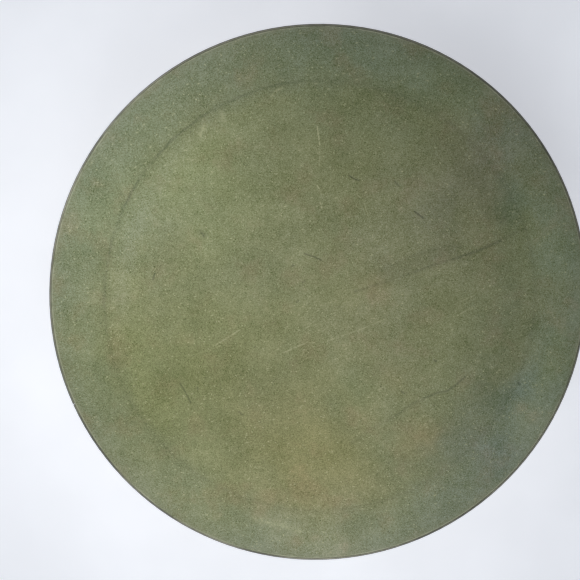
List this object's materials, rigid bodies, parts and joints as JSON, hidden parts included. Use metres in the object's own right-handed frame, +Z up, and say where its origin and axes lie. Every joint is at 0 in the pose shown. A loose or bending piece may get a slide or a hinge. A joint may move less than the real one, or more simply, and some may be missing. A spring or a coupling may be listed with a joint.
{
  "type": "sculpting turntable",
  "caption": "Bench sculpting turntable: a round sheet-covered wheel head turns on a spindle in ball bearings inside the column of a round cast base on rubber feet.",
  "frame": {"origin": "on the bench under the spindle, at the level of the feet", "axes": "+Z up along the spindle; -Y is the front, and the four feet stand on the diagonals"},
  "size_m": [0.3048, 0.3048, 0.095],
  "materials": {
    "surface_sheet": "flecked olive green, worn satin",
    "edge_band": "dark, rubbed at the edges",
    "band_pins": "tarnished",
    "head_board": "varnished plywood",
    "base_paint": "hammered dark green enamel on a casting",
    "screws": "zinc plated, dulled",
    "bearing_steel": "ground and oiled",
    "balls": "polished",
    "cage_brass": "pressed brass",
    "cage_steel": "pressed steel",
    "retaining_ring": "black spring steel",
    "bush_bronze": "sintered bronze",
    "dust_cap": "pressed, zinc plated",
    "feet": "moulded"
  },
  "bodies": {
    "base": {"thrust_washer_lower": "bearing_steel", "lower_bearing_outer_ring": "bearing_steel", "base_casting": "base_paint", "spindle_bush": "bush_bronze", "dust_cap": "dust_cap", "rubber_foot_back_right": "feet", "rubber_foot_back_left": "feet", "rubber_foot_front_left": "feet", "rubber_foot_front_right": "feet", "foot_washers": "screws", "foot_screws": "screws"},
    "head": {"surface_sheet": "surface_sheet", "edge_band": "edge_band", "band_pins": "band_pins", "head_board": "head_board", "hub_flange": "base_paint", "flange_screws": "screws", "spindle": "bearing_steel", "spindle_washer": "screws", "spindle_screw": "screws", "thrust_washer_upper": "bearing_steel", "lower_bearing_inner_ring": "bearing_steel", "retaining_washer": "screws", "retaining_ring": "retaining_ring"},
    "thrust_cage_ring": {"thrust_cage": "cage_brass", "thrust_balls": "balls"},
    "lower_cage_ring": {"lower_bearing_cage": "cage_steel", "lower_bearing_balls": "balls"}
  },
  "joints": [
    {"name": "head_spin", "type": "hinge", "parent": "base", "child": "head", "pos_m": [0, 0, 0.055], "axis": [0, 0, 1], "continuous": true},
    {"name": "thrust_cage_spin", "type": "hinge", "parent": "base", "child": "thrust_cage_ring", "pos_m": [0, 0, 0.055], "axis": [0, 0, 1], "continuous": true},
    {"name": "lower_cage_spin", "type": "hinge", "parent": "base", "child": "lower_cage_ring", "pos_m": [0, 0, 0.022], "axis": [0, 0, 1], "continuous": true}
  ],
  "couplings": [
    {"joint": "thrust_cage_spin", "follows": "head_spin", "ratio": 0.5},
    {"joint": "lower_cage_spin", "follows": "head_spin", "ratio": 0.39758}
  ]
}
